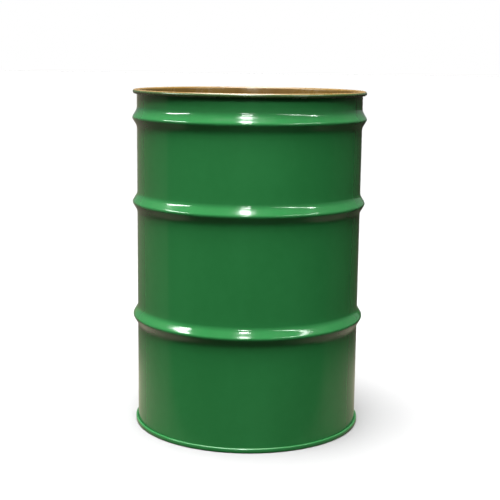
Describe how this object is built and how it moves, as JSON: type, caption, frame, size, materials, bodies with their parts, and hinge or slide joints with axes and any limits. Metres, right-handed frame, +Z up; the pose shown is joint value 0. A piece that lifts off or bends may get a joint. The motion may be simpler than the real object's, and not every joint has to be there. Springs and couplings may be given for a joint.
{
  "type": "open-head steel drum",
  "caption": "Open-head cylindrical steel drum with rolling hoops, a curled rim, a lined inside and a countersunk bottom seamed on at a round chime.",
  "frame": {"origin": "on the floor at the middle of the drum, in the plane of the chime's rest face", "axes": "+Z up the drum's axis, out of the open mouth; +Y towards the side with the body's welded seam"},
  "size_m": [0.5967, 0.5968, 0.8636],
  "materials": {
    "green_enamel": "gloss baked enamel",
    "tan_lining": "satin baked phenolic lining",
    "sealing_compound": "cured, matt"
  },
  "bodies": {
    "root": {"body_shell": "green_enamel", "bottom_head": "tan_lining", "seam_compound": "sealing_compound"}
  },
  "joints": []
}
